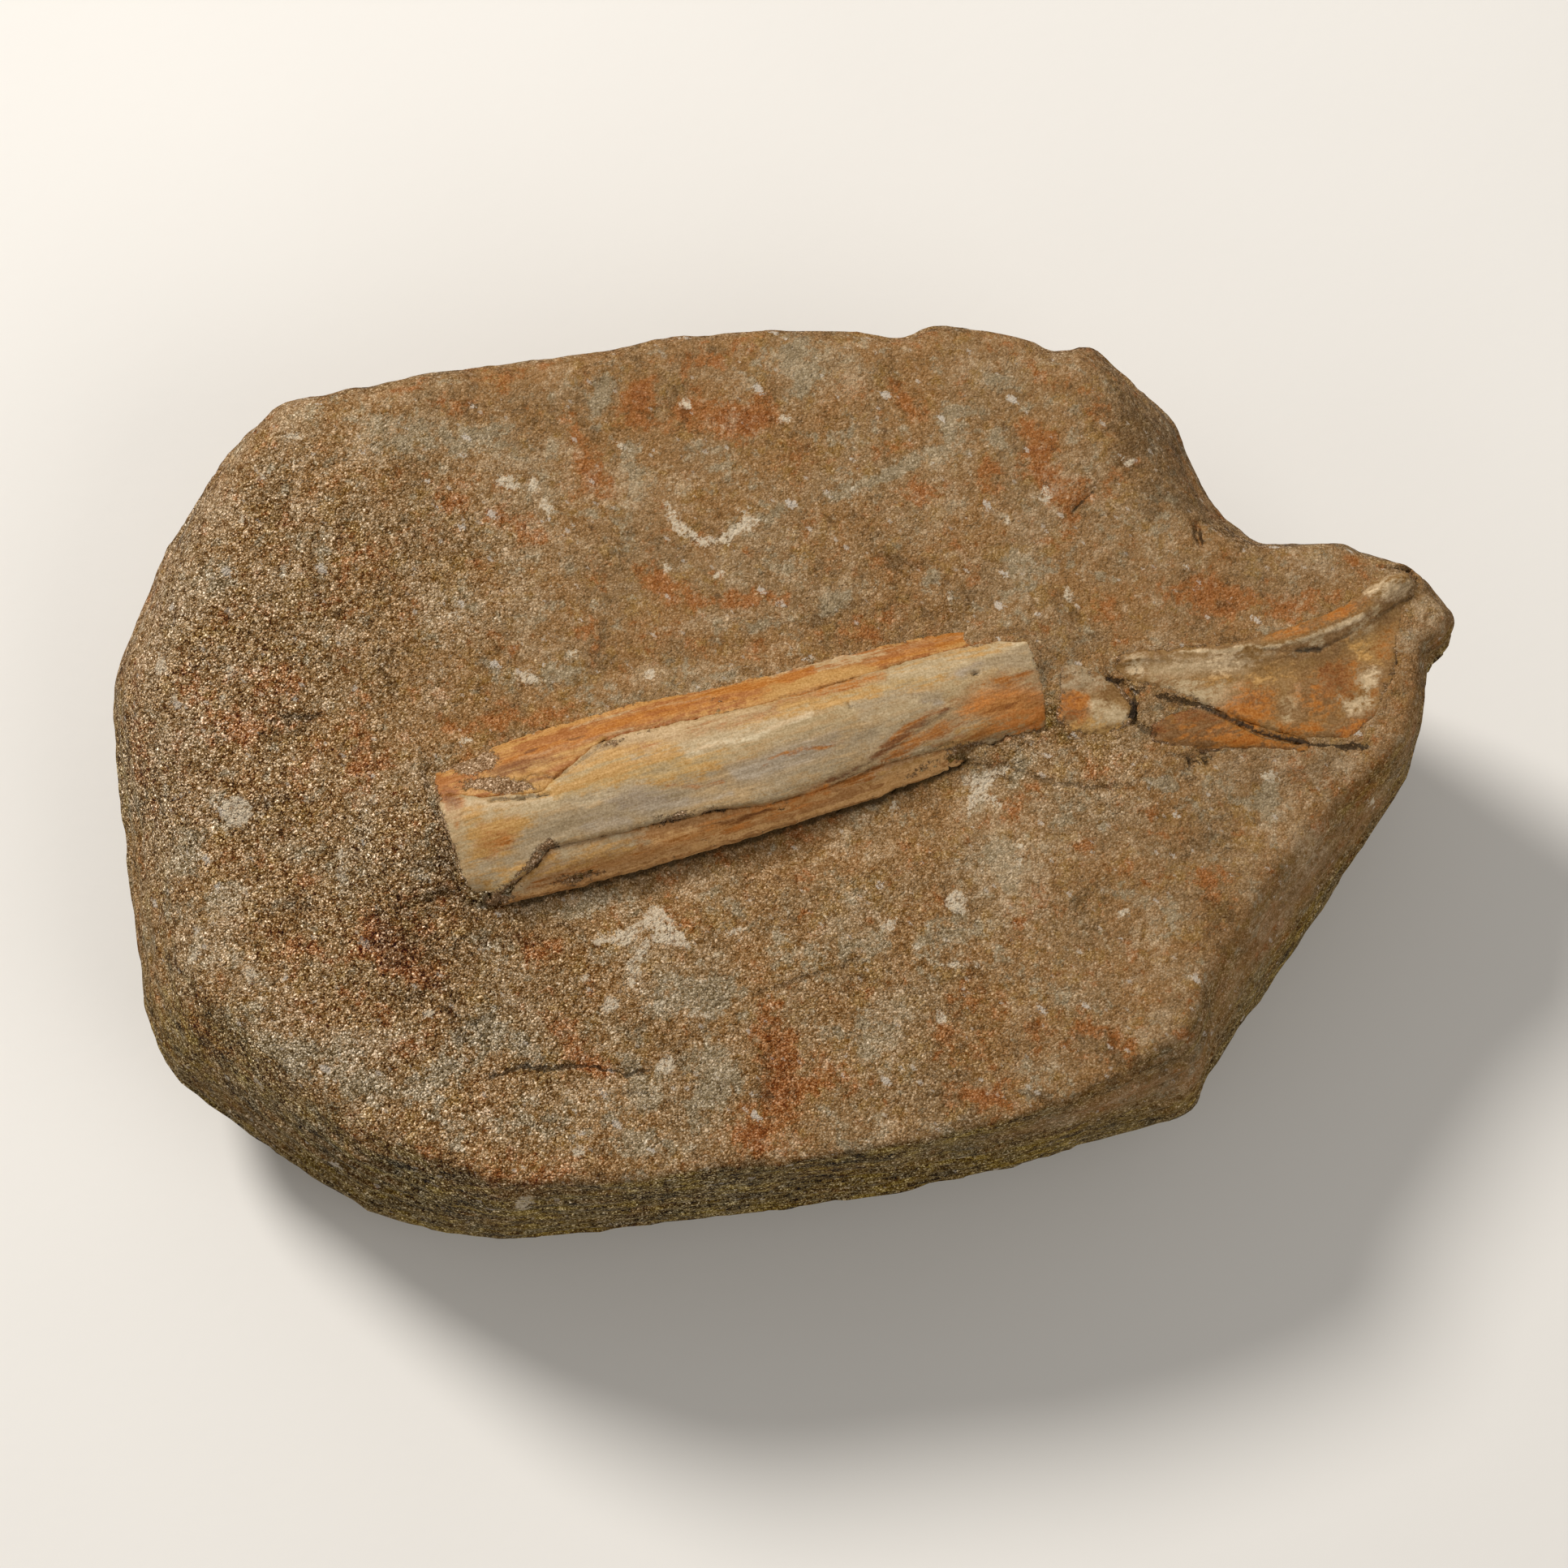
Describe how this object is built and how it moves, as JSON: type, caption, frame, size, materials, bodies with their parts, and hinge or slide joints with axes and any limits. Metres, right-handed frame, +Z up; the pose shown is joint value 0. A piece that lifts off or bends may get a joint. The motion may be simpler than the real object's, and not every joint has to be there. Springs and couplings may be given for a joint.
{
  "type": "fossil pterosaur bone in sandstone",
  "caption": "Hollow fossil limb bone with a flared end, lying in relief in a block of sandstone, to show on a shelf or table.",
  "frame": {"origin": "middle of the block's underside", "axes": "+X along the block's longest way, towards the bone's flared end; +Y across it; +Z up, out of the face that the bone lies in"},
  "size_m": [0.1376, 0.0917, 0.0374],
  "materials": {
    "sandstone": "rough, fine-grained brown sandstone with rust-red and grey-green patches and white flecks",
    "bone": "smooth fossil bone, cream to grey-lavender, streaked with ochre along its length",
    "stained_bone": "smooth fossil bone stained orange-brown by iron, with sand grains on it"
  },
  "bodies": {
    "root": {"matrix": "sandstone", "bone_shaft": "bone", "shaft_upper_splinter": "stained_bone", "shaft_lower_splinter": "stained_bone", "middle_fragment": "stained_bone", "flared_end": "bone", "flared_lower_strip": "stained_bone"}
  },
  "joints": []
}
